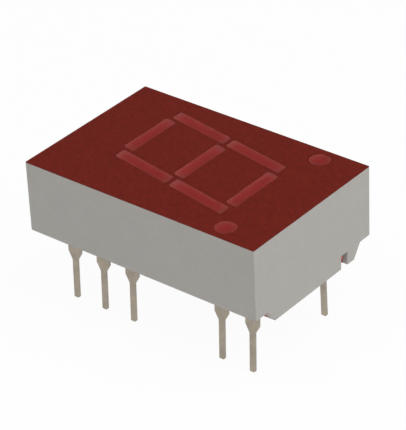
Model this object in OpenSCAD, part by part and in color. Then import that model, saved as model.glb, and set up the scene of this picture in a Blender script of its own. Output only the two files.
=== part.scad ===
// Single-digit seven segment display with eleven pins in two rows.
// The origin is the middle of the flat back face. +X is the digit's right, +Y is the digit's top
// and +Z comes out of the display face.

/* [Body] */
// Width of the body, across the digit
body_w = 12.5; // [12.3:0.1:16]
// Length of the body, along the digit
body_l = 19.05; // [18.65:0.05:24]
// Height from the flat back face to the display face
body_h = 6.35; // [6:0.05:8]
// How far the end feet and the resin reach below the long walls
crown_h = 1.02; // [0.6:0.02:1.3]
// How far the feet and the resin between them sit to the digit's right of the body's middle
crown_x = 0.1; // [0:0.05:0.15]
// Thickness of the long walls
side_wall = 0.75; // [0.6:0.05:0.8]
// Thickness of the end walls and their feet
end_wall = 0.4; // [0.3:0.05:0.5]
// Radius on the body's four upright edges
edge_r = 0.05; // [0.03:0.01:0.3]
// Distance from the body's side to the foot where it leaves the wall, if the feet sat in the middle
foot_root = 1.2; // [0.9:0.05:1.3]
// Distance from the body's side to the foot at its flat tip, if the feet sat in the middle
foot_tip = 1.9; // [1.4:0.05:2.2]
// Thickness of the coloured coat on the display face
coat_t = 0.05; // [0.02:0.01:0.1]

/* [Notch in the lower foot] */
// Distance of the notch from the middle of the body
notch_x = 3.35; // [2.6:0.05:3.5]
// Width of the notch
notch_w = 0.7; // [0.5:0.05:1]
// Depth of the notch, from the end of the body
notch_l = 0.95; // [0.6:0.05:1]

/* [Digit] */
// Height of the digit over its outer edges
digit_h = 10.92; // [9:0.02:13.2]
// Distance between the two columns of upright bars
digit_w = 6.1; // [5.4:0.1:6.2]
// Lean of the digit to the right
slant = 9.7; // [5:0.1:11]
// Distance of the digit's middle from the middle of the body
digit_x = 0.42; // [0.2:0.02:0.6]
// Width of a bar at the face
bar_w = 0.98; // [0.8:0.02:1.2]
// Cut across each corner of a bar
bar_corner = 0.12; // [0.02:0.02:0.2]
// Gap between the upper and the lower upright bar
bar_gap = 0.3; // [0.2:0.02:0.5]
// Gap between the end of a level bar and the column of upright bars
joint_gap = 0.26; // [0.15:0.01:0.4]
// How far an upright bar stops short of the digit's top or bottom
upright_short = 0.31; // [0.1:0.01:0.5]

/* [Dots] */
// Diameter of a dot at the face
dot_d = 1.5; // [1.4:0.05:1.8]
// Distance between the middles of the two dots
dot_spread = 10.1; // [9.9:0.05:10.3]
// Distance of the dots below the middle of the body
dot_drop = 6.4; // [6.3:0.01:6.45]

/* [Light pipes] */
// Depth of the light pipes, from the face to the lead frame
pipe_depth = 3.9; // [3:0.05:4.2]
// Length of a bar's light pipe at the lead frame
throat_l = 1.6; // [1.4:0.05:2]
// Width of a bar's light pipe at the lead frame
throat_w = 0.7; // [0.5:0.02:0.85]
// Diameter of a dot's light pipe at the lead frame
dot_throat = 1.36; // [1.2:0.02:1.4]

/* [Lead frame] */
// Thickness of the stamped strip
strip_t = 0.25; // [0.15:0.01:0.35]
// Width of a run of strip inside the resin
strip_w = 0.4; // [0.3:0.01:0.44]
// Width of the square pad under a chip
pad_w = 0.5; // [0.4:0.01:0.56]
// Inside radius where a pin bends down
bend_r = 0.2; // [0.1:0.01:0.3]
// Length of the wide flat part of a pin before it bends
land_l = 0.1; // [0.05:0.01:0.15]
// Distance between neighbouring pin positions
pitch = 2.54; // [2.5:0.01:2.6]
// Distance between the two rows of pins at the back face
row_gap = 7.62; // [7.5:0.01:7.7]
// Distance of the middle of the pin rows from the middle of the body, towards the digit's top
pin_shift = 0.25; // [0:0.05:0.3]
// Gap between the dot's lead and the common lead beside it
lead_gap = 0.15; // [0.1:0.01:0.2]

/* [Pins] */
// Width of the wide upper part of a pin
shoulder_w = 1.05; // [0.8:0.01:1.3]
// Length of the wide part below the back face
shoulder_drop = 1.4; // [0.4:0.05:2]
// Length of the taper below the wide part
taper_drop = 0.6; // [0.3:0.05:1.2]
// Width of the narrow lower part of a pin
pin_w = 0.38; // [0.3:0.01:0.55]
// Distance from the back face to the tips of the pins
pin_drop = 5; // [4:0.1:6]
// Cut across each corner of a pin's tip
tip_corner = 0.03; // [0.02:0.01:0.12]
// Angle by which each row of pins leans outward
splay = 2; // [0:0.5:3]

/* [Chips and wires] */
// Width of a light-emitting chip
chip_w = 0.3; // [0.2:0.01:0.38]
// Height of a light-emitting chip
chip_t = 0.25; // [0.15:0.01:0.35]
// Distance from a bar's chip to the far end of its wire
bond_span = 0.8; // [0.7:0.01:1]
// Distance from the dot's chip to the far end of its wire
dot_span = 0.66; // [0.62:0.01:0.7]
// Diameter of a bond wire
wire_d = 0.03; // [0.02:0.005:0.05]
// Diameter of the flattened ends of a bond wire
ball_d = 0.09; // [0.06:0.01:0.12]
// Thickness of the flattened ends of a bond wire
ball_t = 0.02; // [0.01:0.005:0.04]

/* [Hidden] */
$fn = 48;
LEFT = -1;
RIGHT = 1;

// Body
frame_z = body_h - pipe_depth;
inner_x = body_w / 2 - side_wall;
inner_y = body_l / 2 - end_wall;
foot_root_x = body_w / 2 - foot_root;
foot_tip_x = body_w / 2 - foot_tip;

// Digit
lean = tan(slant);
rise = digit_h / 2 - bar_w / 2;
upright_l = digit_h / 2 - upright_short - bar_gap / 2;
upright_y = bar_gap / 2 + upright_l / 2;
level_l = digit_w - bar_w - 2 * joint_gap;
dot_x = dot_spread / 2;

// Pins: the strip turns down round a bend whose middle is at bend_x, bend_z.
mid_r = bend_r + strip_t / 2;
bend_z = frame_z - strip_t - bend_r;
leg_z = bend_z + mid_r * sin(splay);
bend_x = row_gap / 2 - mid_r * cos(splay) - leg_z * tan(splay);

// Bars, each with its name, its kind, its middle and the side of that middle where its chip sits
BARS = [
    ["a", "level", [digit_x + rise * lean, rise], -1],
    ["b", "upright", [digit_x + upright_y * lean + digit_w / 2, upright_y], 1],
    ["c", "upright", [digit_x - upright_y * lean + digit_w / 2, -upright_y], 1],
    ["d", "level", [digit_x - rise * lean, -rise], 1],
    ["e", "upright", [digit_x - upright_y * lean - digit_w / 2, -upright_y], -1],
    ["f", "upright", [digit_x + upright_y * lean - digit_w / 2, upright_y], 1],
    ["g", "level", [digit_x, 0], 1],
];
DOT = ["dot", "dot", [-dot_x, -dot_drop], -1];
SPARE_DOT = ["spare", "dot", [dot_x, -dot_drop], -1];
LAMPS = concat(BARS, [DOT]);

// The direction of a lamp's chip and wire, and the points where the two are
function along(lamp) = lamp[1] == "level" ? [1, 0] : lamp[1] == "upright" ? [lean, 1] : [0, 1];
function half_span(lamp) = (lamp[1] == "dot" ? dot_span : bond_span) / 2;
function chip_at(lamp) = lamp[2] + lamp[3] * half_span(lamp) * along(lamp);
function bond_at(lamp) = lamp[2] - lamp[3] * half_span(lamp) * along(lamp);
function named(name) = LAMPS[search([name], LAMPS)[0]];

// The pins are numbered 1 to 7 down the left row and 8 to 14 up the right row.
function pin_side(number) = number < 8 ? LEFT : RIGHT;
function pin_y(number) = pin_shift + (number < 8 ? 4 - number : number - 11) * pitch;
function strip_start(number) = [pin_side(number) * (bend_x - (land_l + strip_w) / 2), pin_y(number)];

// The place nearest to a given y where a run of strip can leave the wide part of a pin
function strip_start_near(number, y) =
    let (reach = (shoulder_w - strip_w) / 2)
    [strip_start(number)[0], min(max(y, pin_y(number) - reach), pin_y(number) + reach)];

// The leads, each with its name, its pins, its runs of strip and the lamps whose chips it carries
A = named("a");
B = named("b");
C = named("c");
D = named("d");
E = named("e");
F = named("f");
G = named("g");
turn_x = bend_x - strip_w;
bus_y = bond_at(F)[1];
link_y = (pin_y(3) + pin_y(4)) / 2;
aisle_x = bend_x - pitch / 2;
cross_y = (pin_y(6) + pin_y(7)) / 2;
step_x = dot_x - strip_w - lead_gap;
LEADS = [
    ["lead_a", [1], [[strip_start(1), [chip_at(A)[0], pin_y(1)], chip_at(A)]], [A]],
    ["lead_f", [2], [[strip_start(2), [chip_at(F)[0], pin_y(2)], chip_at(F)]], [F]],
    ["lead_dot", [6], [
        [strip_start(6), [-turn_x, pin_y(6)], [-turn_x, cross_y], [-step_x, cross_y]],
        [[-step_x, cross_y], [-step_x, chip_at(DOT)[1]], chip_at(DOT)],
    ], [DOT]],
    ["lead_e", [7], [[strip_start(7), [-aisle_x, pin_y(7)], [-aisle_x, chip_at(E)[1]], chip_at(E)]], [E]],
    ["lead_d", [8], [[strip_start(8), [chip_at(D)[0], pin_y(8)], chip_at(D)]], [D]],
    ["lead_spare", [9], [
        [strip_start(9), [turn_x, pin_y(9)], [turn_x, cross_y], [step_x, cross_y]],
        [[step_x, cross_y], [step_x, chip_at(SPARE_DOT)[1]], chip_at(SPARE_DOT)],
    ], [SPARE_DOT]],
    ["lead_c", [10], [
        [strip_start_near(10, chip_at(C)[1]), [strip_start(10)[0], chip_at(C)[1]], chip_at(C)],
    ], [C]],
    ["lead_g", [11], [[strip_start(11), [chip_at(G)[0], pin_y(11)], chip_at(G)]], [G]],
    ["lead_b", [13], [[strip_start(13), [turn_x, pin_y(13)], [turn_x, chip_at(B)[1]], chip_at(B)]], [B]],
    ["lead_common", [3, 14], [
        [strip_start(3), [-turn_x, pin_y(3)], [-turn_x, bus_y], [bond_at(B)[0], bus_y], bond_at(B)],
        [bond_at(F), [bond_at(F)[0], bus_y]],
        [[bond_at(A)[0], bus_y], [bond_at(A)[0], pin_y(14)], strip_start(14)],
        [[bond_at(G)[0], bus_y], [bond_at(G)[0], bond_at(C)[1]], bond_at(C)],
        [[bond_at(G)[0], bond_at(C)[1]], [bond_at(D)[0], bond_at(C)[1]], bond_at(D)],
        [[-turn_x, bus_y], [-turn_x, link_y], [-dot_x, link_y], bond_at(DOT)],
        [[-dot_x, bond_at(E)[1]], bond_at(E)],
    ], []],
];

// Outline of the body seen from above, with its four corners rounded
module body_plan() {
    square([body_w - 2 * edge_r, body_l], center = true);
    square([body_w, body_l - 2 * edge_r], center = true);
    for (x = [LEFT, RIGHT], y = [-1, 1]) {
        translate([x * (body_w / 2 - edge_r), y * (body_l / 2 - edge_r)]) circle(edge_r);
    }
}

// Cross-section of the crown, which the end feet and the resin between them share
module crown_section() {
    translate([crown_x, 0]) polygon([
        [-foot_root_x, crown_h],
        [-foot_tip_x, 0],
        [foot_tip_x, 0],
        [foot_root_x, crown_h],
    ]);
}

// The crown between two places along the body
module crown(from_y, to_y) {
    translate([0, to_y, 0]) rotate([90, 0, 0]) linear_extrude(to_y - from_y) crown_section();
}

module notch() {
    translate([notch_x - notch_w / 2, -body_l / 2, 0]) cube([notch_w, notch_l, crown_h]);
}

// A bar's outline, with the same corner cuts at every size, so that the walls between two sizes are flat
function bar_outline(kind, l, w) = [
    for (p = [
        [l / 2, bar_corner - w / 2],
        [l / 2, w / 2 - bar_corner],
        [l / 2 - bar_corner, w / 2],
        [bar_corner - l / 2, w / 2],
        [-l / 2, w / 2 - bar_corner],
        [-l / 2, bar_corner - w / 2],
        [bar_corner - l / 2, -w / 2],
        [l / 2 - bar_corner, -w / 2],
    ]) kind == "level" ? [p[0] + p[1] * lean, p[1]] : [p[0] * lean - p[1], p[0]]
];

// A light pipe widens from the lead frame to the face.
module bar_pipe(bar) {
    l = bar[1] == "level" ? level_l : upright_l;
    low = bar_outline(bar[1], throat_l, throat_w);
    high = bar_outline(bar[1], l, bar_w);
    n = len(low);
    translate(bar[2]) polyhedron(
        points = concat(
            [for (p = low) [p[0], p[1], frame_z]],
            [for (p = high) [p[0], p[1], body_h]]
        ),
        faces = concat(
            [[for (i = [0 : n - 1]) i]],
            [[for (i = [n - 1 : -1 : 0]) n + i]],
            [for (i = [0 : n - 1]) [i, n + i, n + (i + 1) % n, (i + 1) % n]]
        )
    );
}

module dot_pipe(dot) {
    translate([dot[2][0], dot[2][1], frame_z]) cylinder(d1 = dot_throat, d2 = dot_d, h = pipe_depth);
}

module light_pipes() {
    for (bar = BARS) bar_pipe(bar);
    dot_pipe(DOT);
    dot_pipe(SPARE_DOT);
}

// The open back of the housing, from the foot of the crown up to the lead frame
module back_pocket(low_z) {
    translate([-inner_x, -inner_y, low_z]) cube([2 * inner_x, 2 * inner_y, frame_z - low_z]);
}

module housing() {
    color([0.67, 0.66, 0.64]) difference() {
        union() {
            translate([0, 0, crown_h]) linear_extrude(body_h - coat_t - crown_h) body_plan();
            crown(-body_l / 2, -inner_y);
            crown(inner_y, body_l / 2);
        }
        back_pocket(0);
        light_pipes();
        notch();
    }
}

module face_coat() {
    color([0.42, 0.15, 0.12]) difference() {
        translate([0, 0, body_h - coat_t]) linear_extrude(coat_t) body_plan();
        light_pipes();
    }
}

module resin_fill() {
    color([0.6, 0.12, 0.1]) difference() {
        union() {
            light_pipes();
            back_pocket(crown_h);
            crown(-inner_y, inner_y);
        }
        notch();
        for (lead = LEADS) lead_solid(lead);
        for (lamp = LAMPS) {
            chip_solid(lamp);
            wire_solid(lamp);
        }
    }
}

// A run of strip through a list of corners
module strip_run(corners) {
    for (i = [0 : len(corners) - 2]) {
        ends = [corners[i], corners[i + 1]];
        low_x = min(ends[0][0], ends[1][0]) - strip_w / 2;
        high_x = max(ends[0][0], ends[1][0]) + strip_w / 2;
        low_y = min(ends[0][1], ends[1][1]) - strip_w / 2;
        high_y = max(ends[0][1], ends[1][1]) + strip_w / 2;
        polygon([[low_x, low_y], [high_x, low_y], [high_x, high_y], [low_x, high_y]]);
    }
}

// Side view of the flat end of a pin and its bend, which stops where the leaning leg begins
module bend_section() {
    outer_r = bend_r + strip_t;
    translate([-land_l, bend_r]) square([land_l, strip_t]);
    intersection() {
        difference() {
            circle(outer_r);
            circle(bend_r);
        }
        square(2 * outer_r);
        rotate(splay) square(2 * outer_r);
    }
}

// One pin, from its flat end round the bend and down to the tip
module pin_leg() {
    shoulder_l = (leg_z + shoulder_drop) / cos(splay);
    taper_l = (leg_z + shoulder_drop + taper_drop) / cos(splay);
    tip_l = (leg_z + pin_drop) / cos(splay);
    translate([bend_x, 0, bend_z]) {
        rotate([90, 0, 0]) linear_extrude(shoulder_w, center = true) bend_section();
        rotate([0, -splay, 0]) translate([bend_r, 0, 0]) rotate([90, 0, 90]) linear_extrude(strip_t)
            polygon([
                [-shoulder_w / 2, 0],
                [-shoulder_w / 2, -shoulder_l],
                [-pin_w / 2, -taper_l],
                [-pin_w / 2, tip_corner - tip_l],
                [tip_corner - pin_w / 2, -tip_l],
                [pin_w / 2 - tip_corner, -tip_l],
                [pin_w / 2, tip_corner - tip_l],
                [pin_w / 2, -taper_l],
                [shoulder_w / 2, -shoulder_l],
                [shoulder_w / 2, 0],
            ]);
    }
}

module lead_solid(lead) {
    translate([0, 0, frame_z - strip_t]) linear_extrude(strip_t) {
        for (run = lead[2]) strip_run(run);
        for (lamp = lead[3]) translate(chip_at(lamp)) square(pad_w, center = true);
    }
    for (number = lead[1]) {
        translate([0, pin_y(number), 0]) rotate([0, 0, pin_side(number) == LEFT ? 180 : 0]) pin_leg();
    }
}

module lead(lead) {
    color([0.59, 0.56, 0.5]) lead_solid(lead);
}

module chip_solid(lamp) {
    at = chip_at(lamp);
    translate([at[0] - chip_w / 2, at[1] - chip_w / 2, frame_z]) cube([chip_w, chip_w, chip_t]);
}

module chip(lamp) {
    color([0.85, 0.6, 0.2]) chip_solid(lamp);
}

// A bond wire rises from the chip in a half circle and drops to the common lead.
module wire_solid(lamp) {
    from = chip_at(lamp);
    to = bond_at(lamp);
    reach = norm(to - from) / 2;
    middle = (from + to) / 2;
    translate([middle[0], middle[1], frame_z]) rotate([0, 0, atan2(to[1] - from[1], to[0] - from[0])]) {
        translate([0, 0, chip_t]) rotate([90, 0, 0]) rotate_extrude(angle = 180)
            translate([reach, 0]) circle(d = wire_d);
        translate([reach, 0, 0]) cylinder(d = wire_d, h = chip_t);
        translate([reach, 0, 0]) cylinder(d = ball_d, h = ball_t);
        translate([-reach, 0, chip_t]) cylinder(d = ball_d, h = ball_t);
    }
}

module wire(lamp) {
    color([0.9, 0.72, 0.3]) wire_solid(lamp);
}

housing();
face_coat();
resin_fill();
for (item = LEADS) {
    lead(item);
}
for (item = LAMPS) {
    chip(item);
    wire(item);
}
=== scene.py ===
"""Looks of a single-digit seven segment display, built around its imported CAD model.

The housing, the ink on its face and the leads stand in for their CAD nodes, with rounded edges.
The resin, the chips and the bond wires keep their CAD shapes and get their finish in place.
"""

import math

import bmesh
import bpy
from mathutils import Matrix, Vector


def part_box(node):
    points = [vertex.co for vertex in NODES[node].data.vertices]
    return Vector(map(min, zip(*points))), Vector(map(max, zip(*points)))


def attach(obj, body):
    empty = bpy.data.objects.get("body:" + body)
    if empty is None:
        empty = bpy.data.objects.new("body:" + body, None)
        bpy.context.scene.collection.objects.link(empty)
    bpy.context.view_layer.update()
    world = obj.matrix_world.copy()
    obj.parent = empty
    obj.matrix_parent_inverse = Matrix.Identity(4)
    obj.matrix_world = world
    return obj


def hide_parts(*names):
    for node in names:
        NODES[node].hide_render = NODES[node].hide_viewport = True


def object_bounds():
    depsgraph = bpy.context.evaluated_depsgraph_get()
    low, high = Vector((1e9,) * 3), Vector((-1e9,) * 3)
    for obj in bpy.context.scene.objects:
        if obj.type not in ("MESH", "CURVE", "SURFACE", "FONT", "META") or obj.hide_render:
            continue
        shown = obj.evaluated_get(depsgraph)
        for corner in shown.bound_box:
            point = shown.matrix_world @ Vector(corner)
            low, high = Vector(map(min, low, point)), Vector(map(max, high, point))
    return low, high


bl_info = {
    "name": "Seven Segment Display",
    "version": (1, 0, 0),
    "blender": (4, 5, 0),
    "location": "View3D > Sidebar > Display",
    "description": "Gives a seven segment display its finish, and a stage to stand on",
    "category": "Object",
}

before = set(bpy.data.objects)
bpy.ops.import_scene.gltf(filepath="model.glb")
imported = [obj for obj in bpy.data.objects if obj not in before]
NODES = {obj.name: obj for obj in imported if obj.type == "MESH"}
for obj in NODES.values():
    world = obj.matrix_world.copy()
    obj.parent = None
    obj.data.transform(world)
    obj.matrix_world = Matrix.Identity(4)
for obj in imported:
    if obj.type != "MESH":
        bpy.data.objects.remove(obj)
CAD_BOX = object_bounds()

MM = 0.001
BODY = "root"
WHITE = (1.0, 1.0, 1.0, 1.0)
STAGE_CENTRE = (0, 0, 0)
# The floor's width in metres, which keeps its edges far from the display.
FLOOR_WIDTH = 6

# Corners of a CAD mesh that lie closer than this are one corner.
WELD = 0.0005 * MM
# Two faces that meet at less than this angle are one flat face.
FLAT_ANGLE = math.radians(0.5)
# Two faces that meet at more than this angle have a sharp edge between them.
SHARP_ANGLE = math.radians(35)
# A corner between thin faces moves at most this many times as far as its faces.
SPIKE_LIMIT = 1.8


def linear(code):
    """An sRGB hex colour as the linear colour that the shaders take."""
    shares = [int(code[i : i + 2], 16) / 255 for i in (1, 3, 5)]
    return tuple(s / 12.92 if s <= 0.04045 else ((s + 0.055) / 1.055) ** 2.4 for s in shares)


def colour_property(name, description, code):
    """A colour, given here as an sRGB hex code."""
    return bpy.props.FloatVectorProperty(
        name=name, description=description, subtype="COLOR", size=3, min=0, max=1, default=linear(code)
    )


def length_property(name, description, length):
    """A length, given here in millimetres and kept in metres."""
    return bpy.props.FloatProperty(
        name=name,
        description=description,
        unit="LENGTH",
        subtype="DISTANCE",
        precision=5,
        default=length * MM,
    )


def share_property(name, description, share):
    """A share between none and all."""
    return bpy.props.FloatProperty(
        name=name, description=description, subtype="FACTOR", min=0, max=1, default=share
    )


# ---------------------------------------------------------------- settings


class DisplayHousing(bpy.types.PropertyGroup):
    colour: colour_property("Colour", "Colour of the moulding plastic", "#b6b3ad")
    roughness: share_property("Roughness", "Roughness of the moulded skin", 0.55)
    grain: length_property("Grain", "Width of a grain of the moulded skin", 0.2)
    grain_depth: length_property("Grain depth", "Depth of the grain", 0.004)
    # Painted light: a lighter copy of the plastic's colour inside the light pipes, standing in for the light
    # that their walls send back through the resin.
    painted_light_walls: colour_property("Wetted colour", "Colour of the plastic where the resin wets it", "#f4f1eb")
    # Painted light, toned down: the sloping end walls catch more of the lamps than the long walls, so they
    # get a less light copy of the plastic's colour.
    painted_light_ends: colour_property("Colour of the ends", "Colour of the light pipes' sloping end walls", "#cbc8c2")
    cloud: length_property("Cloud", "Width of a faint cloud in the filler", 1.4)
    edge: length_property("Edge", "Radius of the moulding's lower edges", 0.03)
    bond: length_property("Bond", "How far the plastic keys into the resin", 0.015)


class DisplayInk(bpy.types.PropertyGroup):
    colour: colour_property("Colour", "Colour of the printed face", "#6d1e14")
    roughness: share_property("Roughness", "Roughness of the dried ink", 0.4)
    grain: length_property("Grain", "Width of a grain of pigment, drawn as coarse as it needs to show", 0.25)
    grain_depth: length_property("Grain depth", "Depth of the grain", 0.004)
    edge: length_property("Edge", "Radius of the ink's outer edge", 0.015)


class DisplayResin(bpy.types.PropertyGroup):
    colour: colour_property("Colour", "Colour of the diffusing powder in the resin", "#ff3c3b")
    # Painted light: a lighter powder colour near the walls of the light pipes, standing in for the light the
    # walls send back through the resin.
    painted_rim_light: colour_property("Pale", "Colour of the powder close to a wall of a light pipe", "#f8847e")
    rim: length_property("Rim", "How far the pale colour reaches from a wall", 0.5)
    skin: colour_property("Skin", "Colour of the light that passes the surface", "#ffa19c")
    clear: share_property("Clear", "Share of the light that passes the surface", 0.82)
    powder: length_property("Powder", "Width of a clot of powder", 0.2)
    powder_depth: length_property("Powder depth", "How far a clot lifts the surface", 0.002)
    tint: colour_property("Tint", "Colour that the dye lets through", "#f0403a")
    dye: bpy.props.FloatProperty(
        name="Dye", description="Strength of the dye, for each metre of resin", min=0, default=470
    )
    roughness: share_property("Roughness", "Roughness of the cast surface", 0.36)


class DisplayLeads(bpy.types.PropertyGroup):
    colour: colour_property("Colour", "Colour of the tin plate", "#a49b8c")
    roughness: share_property("Roughness", "Roughness of the dull tin plate", 0.42)
    edge: length_property("Edge", "Radius of the plated edges", 0.02)
    plate: length_property("Plate", "Thickness of the tin plate", 0.008)
    rolling: length_property("Rolling", "Width of a rolling line, drawn as coarse as it needs to show", 0.06)
    rolling_depth: length_property("Rolling depth", "Depth of a rolling line", 0.003)
    bloom: length_property("Bloom", "Width of a patch where the plate is duller", 0.7)


class DisplayChips(bpy.types.PropertyGroup):
    crystal: colour_property("Crystal", "Colour of the sawn crystal", "#8c5a24")
    frosted: colour_property("Frosted", "Colour of the crystal where the saw has frosted it", "#c88a3c")
    frost: length_property("Frost", "Width of a frosted patch", 0.02)
    gold: colour_property("Gold", "Colour of the bond wires", "#e8b84f")
    drawing: length_property("Drawing lines", "Width of a line left by drawing the wire", 0.01)


class DisplayStage(bpy.types.PropertyGroup):
    azimuth: bpy.props.FloatProperty(
        name="Azimuth",
        description="Direction of the camera round the display, from its lower end",
        subtype="ANGLE",
        default=math.radians(-50.21),
    )
    elevation: bpy.props.FloatProperty(
        name="Elevation",
        description="Height of the camera above the horizon",
        subtype="ANGLE",
        default=math.radians(32.0),
    )
    roll: bpy.props.FloatProperty(
        name="Roll",
        description="Turn of the camera about its own view",
        subtype="ANGLE",
        default=math.radians(-2.64),
    )
    distance: length_property("Distance", "Distance from the camera to the point it looks at", 162.74)
    aim: bpy.props.FloatVectorProperty(
        name="Aim",
        description="The point that the camera looks at",
        subtype="TRANSLATION",
        unit="LENGTH",
        default=(0.651 * MM, 0.161 * MM, 1.985 * MM),
    )
    lens: bpy.props.FloatProperty(
        name="Lens", description="Focal length, in millimetres", subtype="DISTANCE_CAMERA", default=203.3
    )


# ---------------------------------------------------------------- mesh work


def node_mesh(name):
    """The mesh of a CAD node, with its split corners joined and its flat faces whole."""
    mesh = bmesh.new()
    mesh.from_mesh(NODES[name].data)
    bmesh.ops.remove_doubles(mesh, verts=mesh.verts, dist=WELD)
    bmesh.ops.dissolve_limit(mesh, angle_limit=FLAT_ANGLE, verts=mesh.verts, edges=mesh.edges)
    mesh.normal_update()
    return mesh


def is_sharp(edge):
    return edge.is_manifold and edge.calc_face_angle() > SHARP_ANGLE


def round_edges(mesh, radius, chosen):
    """Rounds the chosen edges, in three steps to each quarter turn."""
    edges = [edge for edge in mesh.edges if is_sharp(edge) and chosen(edge)]
    bmesh.ops.bevel(
        mesh,
        geom=edges,
        offset=radius,
        offset_type="OFFSET",
        segments=3,
        profile=0.5,
        affect="EDGES",
        clamp_overlap=True,
    )
    mesh.normal_update()


def grow(mesh, thickness, chosen=lambda vert: True):
    """Moves the faces at the chosen corners outwards by one thickness, or a little less at a sharp spike."""
    moves = [
        (vert, vert.normal * min(vert.calc_shell_factor(), SPIKE_LIMIT) * thickness)
        for vert in mesh.verts
        if chosen(vert)
    ]
    for vert, move in moves:
        vert.co += move


def make_piece(mesh, name, materials, replaced):
    """Turns a mesh into a piece that stands for a CAD node.

    The shading of its rounded edges follows its large flat faces.
    """
    for face in mesh.faces:
        face.smooth = True
    for edge in mesh.edges:
        edge.smooth = not is_sharp(edge)
    data = bpy.data.meshes.new(name)
    mesh.to_mesh(data)
    mesh.free()
    data.attributes.remove(data.attributes["custom_normal"])
    for material in materials:
        data.materials.append(material)
    piece = bpy.data.objects.new(name, data)
    bpy.context.scene.collection.objects.link(piece)
    normals = piece.modifiers.new("normals_of_the_larger_faces", "WEIGHTED_NORMAL")
    normals.keep_sharp = True
    normals.weight = 100
    piece.modifiers.new("triangles", "TRIANGULATE").keep_custom_normals = True
    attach(piece, BODY)
    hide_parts(replaced)
    return piece


# ---------------------------------------------------------------- materials


def add(tree, kind, settings=None, inputs=None):
    """Adds a node with its settings, and sets or links its inputs, each given by name or by number."""
    node = tree.nodes.new(kind)
    for key, value in (settings or {}).items():
        setattr(node, key, value)
    for key, value in (inputs or {}).items():
        if isinstance(value, bpy.types.NodeSocket):
            tree.links.new(value, node.inputs[key])
        else:
            node.inputs[key].default_value = value
    return node


def new_tree(name):
    material = bpy.data.materials.new(name)
    material.use_nodes = True
    material.node_tree.nodes.clear()
    return material, material.node_tree


def opaque(colour):
    return (*colour, 1.0)


def scaled(colour, factor):
    """The same colour, made darker or lighter by a factor."""
    return tuple(min(1.0, channel * factor) for channel in colour) + (1.0,)


def noise(tree, width, detail=2.0, stretch=(1, 1, 1)):
    """A noise whose features are one width across in the object's own space."""
    place = add(tree, "ShaderNodeTexCoord").outputs["Object"]
    place = add(tree, "ShaderNodeMapping", {}, {"Vector": place, "Scale": stretch}).outputs["Vector"]
    return add(
        tree,
        "ShaderNodeTexNoise",
        {},
        {"Vector": place, "Scale": 1 / width, "Detail": detail, "Roughness": 0.55},
    ).outputs["Fac"]


def spread(tree, value, low=0.0, high=1.0):
    """Stretches the middle of a noise, where nearly all of it lies, to run from low to high."""
    return add(
        tree,
        "ShaderNodeMapRange",
        {},
        {"Value": value, "From Min": 0.3, "From Max": 0.7, "To Min": low, "To Max": high},
    ).outputs["Result"]


def blend(tree, factor, first, second):
    """Two colours mixed: the first where the factor is 0, the second where it is 1."""
    return add(
        tree, "ShaderNodeMix", {"data_type": "RGBA"}, {"Factor": factor, 6: first, 7: second}
    ).outputs[2]


def shaded(tree, factor, colour, darkest, lightest):
    """One colour, from its darkest shade where the factor is 0 to its lightest where it is 1."""
    return blend(tree, factor, scaled(colour, darkest), scaled(colour, lightest))


def times(tree, value, factor):
    return add(tree, "ShaderNodeMath", {"operation": "MULTIPLY"}, {0: value, 1: factor}).outputs[0]


def bump(tree, height, depth):
    return add(tree, "ShaderNodeBump", {}, {"Height": height, "Distance": depth}).outputs["Normal"]


def finish_material(tree, shader, volume=None):
    """Joins a shader, and what fills the solid under it, to the material's output."""
    inputs = {"Surface": shader.outputs[0]}
    if volume is not None:
        inputs["Volume"] = volume.outputs[0]
    add(tree, "ShaderNodeOutputMaterial", {}, inputs)


def moulded_plastic(name, colour):
    """Filled polycarbonate, moulded against a spark-eroded cavity.

    It gives the eye a light warm grey with no clear highlight, and a faint cloudiness from the filler.
    """
    looks = bpy.context.scene.display_housing
    material, tree = new_tree(name)
    cloud = spread(tree, noise(tree, looks.cloud))
    grain = noise(tree, looks.grain)
    clouded = shaded(tree, cloud, colour, 0.985, 1.02)
    filler = times(tree, spread(tree, grain), 0.25)
    shader = add(
        tree,
        "ShaderNodeBsdfPrincipled",
        {},
        {
            "Base Color": blend(tree, filler, clouded, scaled(colour, 0.8)),
            "Roughness": looks.roughness,
            "IOR": 1.58,
            "Normal": bump(tree, grain, looks.grain_depth),
        },
    )
    finish_material(tree, shader)
    return material


def printed_ink():
    """Epoxy screen ink, dried matt on the moulding.

    It gives the eye a deep brown red, dusted with slightly lighter and darker grains of pigment.
    """
    looks = bpy.context.scene.display_ink
    material, tree = new_tree("epoxy_ink_printed")
    grain = noise(tree, looks.grain, detail=3.0)
    pigment = shaded(tree, spread(tree, grain), looks.colour, 0.8, 1.2)
    shader = add(
        tree,
        "ShaderNodeBsdfPrincipled",
        {},
        {
            "Base Color": pigment,
            "Roughness": looks.roughness,
            "IOR": 1.5,
            "Specular IOR Level": 0.3,
            "Normal": bump(tree, grain, looks.grain_depth),
        },
    )
    finish_material(tree, shader)
    return material


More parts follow.
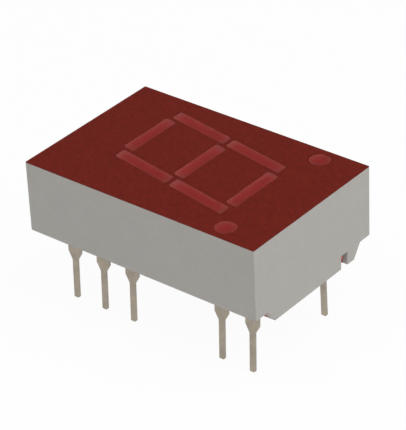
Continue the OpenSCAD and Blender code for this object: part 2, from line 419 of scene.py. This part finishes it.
def cast_resin():
    """Epoxy casting resin with red dye and a fine diffusing powder, set against a smooth film.

    It gives the eye a hazy red that deepens towards the pipe's bottom, and lets the chip there show only as
    a soft glow.
    Along the walls of each light pipe the powder colour turns lighter: painted light, standing in for the
    light that the walls send back.
    """
    looks = bpy.context.scene.display_resin
    material, tree = new_tree("dyed_epoxy_cast")
    clots = noise(tree, looks.powder)
    away_from_walls = add(
        tree,
        "ShaderNodeAmbientOcclusion",
        {"inside": True, "only_local": True, "samples": 8},
        {"Distance": looks.rim},
    ).outputs["AO"]
    powder = shaded(tree, spread(tree, clots), looks.colour, 0.93, 1.07)
    # Painted light: the powder colour turns lighter where a wall of the light pipe is near, standing in for
    # light from that wall.
    powder = blend(tree, away_from_walls, opaque(looks.painted_rim_light), powder)
    surface = {"Roughness": looks.roughness, "IOR": 1.54, "Normal": bump(tree, clots, looks.powder_depth)}
    diffusing = add(tree, "ShaderNodeBsdfPrincipled", {}, {**surface, "Base Color": powder})
    clear = add(
        tree,
        "ShaderNodeBsdfPrincipled",
        {},
        {**surface, "Base Color": opaque(looks.skin), "Transmission Weight": 1.0},
    )
    shader = add(
        tree, "ShaderNodeMixShader", {}, {0: looks.clear, 1: diffusing.outputs[0], 2: clear.outputs[0]}
    )
    volume = add(
        tree, "ShaderNodeVolumeAbsorption", {}, {"Color": opaque(looks.tint), "Density": looks.dye}
    )
    finish_material(tree, shader, volume)
    return material


def dull_tin():
    """Matt tin plate on rolled copper alloy strip, stamped.

    It gives the eye a soft warm grey metal, with faint lines left by rolling and a slightly uneven bloom.
    """
    looks = bpy.context.scene.display_leads
    material, tree = new_tree("matt_tin_plated")
    lines = noise(tree, looks.rolling, stretch=(1, 1, 0.12))
    bloom = spread(tree, noise(tree, looks.bloom))
    shader = add(
        tree,
        "ShaderNodeBsdfPrincipled",
        {},
        {
            "Base Color": shaded(tree, bloom, looks.colour, 0.88, 1.1),
            "Metallic": 1.0,
            "Roughness": spread(tree, lines, looks.roughness - 0.06, looks.roughness + 0.08),
            "Normal": bump(tree, lines, looks.rolling_depth),
        },
    )
    finish_material(tree, shader)
    return material


def sawn_crystal():
    """Gallium arsenide phosphide crystal, sawn into chips.

    It gives the eye a small dark amber block with frosted sides.
    """
    looks = bpy.context.scene.display_chips
    material, tree = new_tree("gallium_crystal_sawn")
    frost = noise(tree, looks.frost)
    shader = add(
        tree,
        "ShaderNodeBsdfPrincipled",
        {},
        {
            "Base Color": blend(tree, frost, opaque(looks.crystal), opaque(looks.frosted)),
            "Roughness": spread(tree, frost, 0.3, 0.5),
            "IOR": 3.4,
        },
    )
    finish_material(tree, shader)
    return material


def drawn_gold():
    """Gold wire, drawn fine and bonded.

    It gives the eye a bright thread of yellow metal.
    """
    looks = bpy.context.scene.display_chips
    material, tree = new_tree("gold_drawn")
    lines = noise(tree, looks.drawing)
    shader = add(
        tree,
        "ShaderNodeBsdfPrincipled",
        {},
        {
            "Base Color": opaque(looks.gold),
            "Metallic": 1.0,
            "Roughness": spread(tree, lines, 0.15, 0.28),
        },
    )
    finish_material(tree, shader)
    return material


def finish_node(name, material):
    """Gives a CAD node its material, in place."""
    data = NODES[name].data
    data.materials.clear()
    data.materials.append(material)


# ---------------------------------------------------------------- pieces


class DISPLAY_OT_housing(bpy.types.Operator):
    """Makes the moulded housing, with rounded outer edges and walls that the resin keys to"""

    bl_idname = "display.housing"
    bl_label = "Housing"

    def execute(self, context):
        looks = context.scene.display_housing
        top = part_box("housing")[1].z
        resin_low, resin_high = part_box("resin_fill")
        near = 0.02 * MM

        def outside(vert):
            """True at a corner of the dry skin, and false where the resin lies against the housing."""
            return (
                not resin_low.x + near < vert.co.x < resin_high.x - near
                or not resin_low.y - near < vert.co.y < resin_high.y + near
                or vert.co.z < resin_low.z + near
            )

        def on_lower_rim(edge):
            return all(outside(vert) and vert.co.z < top - near for vert in edge.verts)

        mesh = node_mesh("housing")
        grow(mesh, looks.bond, lambda vert: not outside(vert))
        for vert in mesh.verts:
            vert.co.z = min(vert.co.z, top)
        round_edges(mesh, looks.edge, on_lower_rim)

        dry = moulded_plastic("filled_polycarbonate_moulded", looks.colour)
        # Painted light: a lighter copy of the plastic for the long walls of the light pipes.
        painted_light_walls = moulded_plastic("filled_polycarbonate_painted_light", looks.painted_light_walls)
        # Painted light, toned down, for the sloping end walls of the light pipes.
        painted_light_ends = moulded_plastic("filled_polycarbonate_end_walls_painted_light", looks.painted_light_ends)
        # Inside the light pipes the plastic gets painted light, a lighter copy of its colour. The end walls
        # face up by more than this share and catch more of the lamps, so they get less painted light than
        # the long walls, which face up by less.
        slope = 0.2
        for wall in mesh.faces:
            if not any(outside(vert) for vert in wall.verts):
                wall.material_index = 2 if wall.normal.z > slope else 1
        make_piece(mesh, "housing_shell", (dry, painted_light_walls, painted_light_ends), "housing")
        return {"FINISHED"}


class DISPLAY_OT_face(bpy.types.Operator):
    """Makes the coat of ink on the face, with its soft outer edge"""

    bl_idname = "display.face"
    bl_label = "Face ink"

    def execute(self, context):
        looks = context.scene.display_ink
        low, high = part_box("face_coat")
        bond = context.scene.display_housing.bond
        rim = 0.3 * MM
        near = 0.001 * MM

        def at_rim(vert):
            return not (low.x + rim < vert.co.x < high.x - rim and low.y + rim < vert.co.y < high.y - rim)

        def on_top_rim(edge):
            return all(at_rim(vert) and vert.co.z > high.z - near for vert in edge.verts)

        mesh = node_mesh("face_coat")
        for vert in mesh.verts:
            if not at_rim(vert):
                inwards = Vector((vert.normal.x, vert.normal.y, 0))
                vert.co += inwards.normalized() * bond
        round_edges(mesh, looks.edge, on_top_rim)
        make_piece(mesh, "face_ink", [printed_ink()], "face_coat")
        return {"FINISHED"}


class DISPLAY_OT_resin(bpy.types.Operator):
    """Gives the cast resin its dyed, diffusing body"""

    bl_idname = "display.resin"
    bl_label = "Resin"

    def execute(self, context):
        finish_node("resin_fill", cast_resin())
        return {"FINISHED"}


class DISPLAY_OT_leads(bpy.types.Operator):
    """Makes the plated leads, with soft stamped edges"""

    bl_idname = "display.leads"
    bl_label = "Leads"

    def execute(self, context):
        looks = context.scene.display_leads
        tin = dull_tin()
        for name in sorted(NODES):
            if not name.startswith("lead_"):
                continue
            mesh = node_mesh(name)
            round_edges(mesh, looks.edge, lambda edge: True)
            grow(mesh, looks.plate)
            for vert in mesh.verts:
                vert.co.z = max(vert.co.z, CAD_BOX[0].z)
            make_piece(mesh, f"plated_{name}", [tin], name)
        return {"FINISHED"}


class DISPLAY_OT_chips(bpy.types.Operator):
    """Gives the light-emitting chips and their bond wires their finish"""

    bl_idname = "display.chips"
    bl_label = "Chips and wires"

    def execute(self, context):
        for start, material in (("chip_", sawn_crystal()), ("wire_", drawn_gold())):
            for name in sorted(NODES):
                if name.startswith(start):
                    finish_node(name, material)
        return {"FINISHED"}


# ---------------------------------------------------------------- stage


def view_axes(azimuth, elevation, roll=0.0):
    """The camera's right, up and backward directions."""
    back = Vector(
        (
            math.sin(azimuth) * math.cos(elevation),
            -math.cos(azimuth) * math.cos(elevation),
            math.sin(elevation),
        )
    )
    right = Vector((math.cos(azimuth), math.sin(azimuth), 0))
    up = back.cross(right)
    cosine, sine = math.cos(roll), math.sin(roll)
    return right * cosine + up * sine, up * cosine - right * sine, back


def look_matrix(azimuth, elevation, roll, distance, aim):
    """Where a camera or lamp stands to look at one point from a distance."""
    right, up, back = view_axes(azimuth, elevation, roll)
    turn = Matrix((right, up, back)).transposed().to_4x4()
    return Matrix.Translation(Vector(aim) + back * distance) @ turn


def add_softbox(name, azimuth, elevation, power, distance=0.30, width=0.24):
    """A square lamp with its face to the display, its angles in degrees and its sizes in metres."""
    lamp = bpy.data.lights.new(name, "AREA")
    lamp.shape = "SQUARE"
    lamp.size = width
    lamp.energy = power
    box = bpy.data.objects.new(name, lamp)
    box.matrix_world = look_matrix(
        math.radians(azimuth), math.radians(elevation), 0, distance, STAGE_CENTRE
    )
    bpy.context.scene.collection.objects.link(box)


def floor_material():
    """White card: it shows white to the camera, and the display's shadow takes a little of that away."""
    material, tree = new_tree("white_card")
    path = add(tree, "ShaderNodeLightPath")
    seen = path.outputs["Is Camera Ray"]
    for kind in ("Is Glossy Ray", "Is Transmission Ray"):
        seen = add(
            tree, "ShaderNodeMath", {"operation": "MAXIMUM"}, {0: seen, 1: path.outputs[kind]}
        ).outputs[0]
    # The little of the card that the glow leaves open keeps a trace of the shadow.
    glow_share = 0.96
    card = add(tree, "ShaderNodeBsdfDiffuse", {}, {"Color": opaque((0.8, 0.8, 0.8))})
    glow = add(tree, "ShaderNodeEmission", {}, {"Color": WHITE, "Strength": 1.0})
    shader = add(
        tree,
        "ShaderNodeMixShader",
        {},
        {0: times(tree, seen, glow_share), 1: card.outputs[0], 2: glow.outputs[0]},
    )
    finish_material(tree, shader)
    return material


def make_world():
    """A white wall all round, low down, under a dim ceiling."""
    world = bpy.data.worlds.new("studio")
    world.use_nodes = True
    tree = world.node_tree
    tree.nodes.clear()
    wall_top, ceiling_edge = 0.02, 0.28
    wall_light, ceiling_light = 0.7, 0.05
    place = add(tree, "ShaderNodeTexCoord").outputs["Generated"]
    height = add(tree, "ShaderNodeSeparateXYZ", {}, {"Vector": place}).outputs["Z"]
    light = add(
        tree,
        "ShaderNodeMapRange",
        {"interpolation_type": "SMOOTHSTEP"},
        {
            "Value": height,
            "From Min": wall_top,
            "From Max": ceiling_edge,
            "To Min": wall_light,
            "To Max": ceiling_light,
        },
    ).outputs["Result"]
    back = add(tree, "ShaderNodeBackground", {}, {"Color": WHITE, "Strength": light})
    add(tree, "ShaderNodeOutputWorld", {}, {"Surface": back.outputs[0]})
    bpy.context.scene.world = world


class DISPLAY_OT_stage(bpy.types.Operator):
    """Makes the camera, the floor, the lamps and the surroundings"""

    bl_idname = "display.stage"
    bl_label = "Stage"

    def execute(self, context):
        scene = context.scene
        stage = scene.display_stage
        data = bpy.data.cameras.new("camera")
        data.lens = stage.lens
        data.clip_start = 1 * MM
        camera = bpy.data.objects.new("camera", data)
        camera.matrix_world = look_matrix(
            stage.azimuth, stage.elevation, stage.roll, stage.distance, stage.aim
        )
        scene.collection.objects.link(camera)
        scene.camera = camera

        bpy.ops.mesh.primitive_plane_add(size=FLOOR_WIDTH, location=(0, 0, CAD_BOX[0].z))
        floor = context.object
        floor.name = "floor"
        floor.data.materials.append(floor_material())

        make_world()
        add_softbox("key_softbox", azimuth=15, elevation=55, power=0.6)
        add_softbox("fill_softbox", azimuth=-80, elevation=60, power=0.3)
        add_softbox("back_softbox", azimuth=-150, elevation=60, power=0.2)
        scene.view_settings.view_transform = "Standard"
        return {"FINISHED"}


# ---------------------------------------------------------------- panel


PIECES = (
    DISPLAY_OT_housing,
    DISPLAY_OT_face,
    DISPLAY_OT_resin,
    DISPLAY_OT_leads,
    DISPLAY_OT_chips,
    DISPLAY_OT_stage,
)
SETTINGS = {
    "display_housing": DisplayHousing,
    "display_ink": DisplayInk,
    "display_resin": DisplayResin,
    "display_leads": DisplayLeads,
    "display_chips": DisplayChips,
    "display_stage": DisplayStage,
}


class DISPLAY_PT_panel(bpy.types.Panel):
    """The display's pieces and their settings"""

    bl_idname = "DISPLAY_PT_panel"
    bl_label = "Seven Segment Display"
    bl_space_type = "VIEW_3D"
    bl_region_type = "UI"
    bl_category = "Display"

    def draw(self, context):
        for piece in PIECES:
            self.layout.operator(piece.bl_idname)
        for name, group in SETTINGS.items():
            box = self.layout.box()
            for key in group.__annotations__:
                box.prop(getattr(context.scene, name), key)


def register():
    for group in (*SETTINGS.values(), *PIECES, DISPLAY_PT_panel):
        bpy.utils.register_class(group)
    for name, group in SETTINGS.items():
        setattr(bpy.types.Scene, name, bpy.props.PointerProperty(type=group))


def unregister():
    for name in SETTINGS:
        delattr(bpy.types.Scene, name)
    for group in (DISPLAY_PT_panel, *PIECES, *SETTINGS.values()):
        bpy.utils.unregister_class(group)


def main():
    register()
    bpy.ops.display.stage()
    bpy.ops.display.housing()
    bpy.ops.display.face()
    bpy.ops.display.resin()
    bpy.ops.display.leads()
    bpy.ops.display.chips()


if __name__ == "__main__":
    main()
